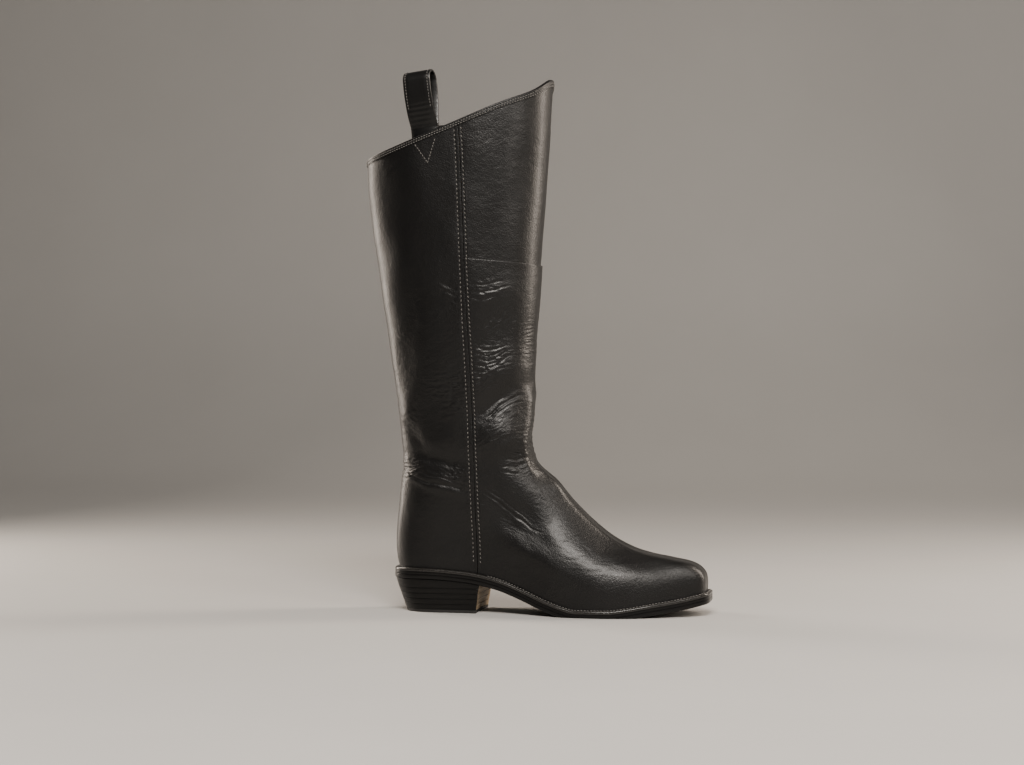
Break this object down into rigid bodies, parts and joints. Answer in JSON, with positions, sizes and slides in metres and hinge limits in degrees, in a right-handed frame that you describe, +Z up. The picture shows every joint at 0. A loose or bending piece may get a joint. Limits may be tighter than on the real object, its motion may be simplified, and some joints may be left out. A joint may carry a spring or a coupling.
{
  "type": "tall riding boot",
  "caption": "Tall black leather riding boot, right foot, with sloped top line, pull straps, side seams, welted sole and stacked block heel.",
  "frame": {"origin": "centre of the heel's flat ground face", "axes": "+X to the toe, +Z up the shaft, +Y to the inner (medial) side of a right boot"},
  "size_m": [0.326, 0.1026, 0.5065],
  "materials": {
    "upper_leather": "smooth black calf, waxed, soft sheen",
    "strap_leather": "black leather, folded and stitched",
    "lining_leather": "undyed tan lining leather, dull",
    "stiffener": "moulded leather board, dull",
    "stay_tape": "skived tan leather tape",
    "welt_leather": "black stained leather, burnished edge",
    "sole_edge": "black stained sole leather, burnished edge",
    "insole_leather": "vegetable tanned leather, dull",
    "sock_leather": "tan sock leather",
    "cork": "pressed cork",
    "heel_stack": "stacked leather lifts, stained dark, burnished",
    "top_lift_rubber": "hard black rubber, matte",
    "spring_steel": "tempered steel"
  },
  "bodies": {
    "boot": {"front_shaft_panel": "upper_leather", "vamp": "upper_leather", "back_panel": "upper_leather", "top_binding": "upper_leather", "shaft_lining_front": "lining_leather", "shaft_lining_back": "lining_leather", "vamp_lining": "lining_leather", "heel_lining": "lining_leather", "toe_puff": "stiffener", "heel_counter": "stiffener", "seam_stay_near": "stay_tape", "seam_stay_far": "stay_tape", "welt": "welt_leather", "cork_filler": "cork", "shank": "spring_steel", "insole": "insole_leather", "sock_liner": "sock_leather", "midsole": "sole_edge", "outsole": "sole_edge", "top_lift": "top_lift_rubber", "heel_wedge": "heel_stack", "heel_screw": "spring_steel", "near_strap_tail": "strap_leather", "far_strap_tail": "strap_leather", "heel_lift_1": "heel_stack", "heel_lift_2": "heel_stack", "heel_lift_3": "heel_stack", "heel_lift_4": "heel_stack"},
    "near_strap": {"near_strap_loop": "strap_leather"},
    "far_strap": {"far_strap_loop": "strap_leather"}
  },
  "joints": [
    {"name": "near_strap_flop", "type": "hinge", "parent": "boot", "child": "near_strap", "pos_m": [-0.01151, -0.04048, 0.45337], "axis": [0.9825, -0.1541, 0.1045], "range_deg": [-30, 75]},
    {"name": "far_strap_flop", "type": "hinge", "parent": "boot", "child": "far_strap", "pos_m": [-0.01151, 0.04048, 0.45337], "axis": [-0.9825, -0.1541, -0.1045], "range_deg": [-5, 165]}
  ]
}
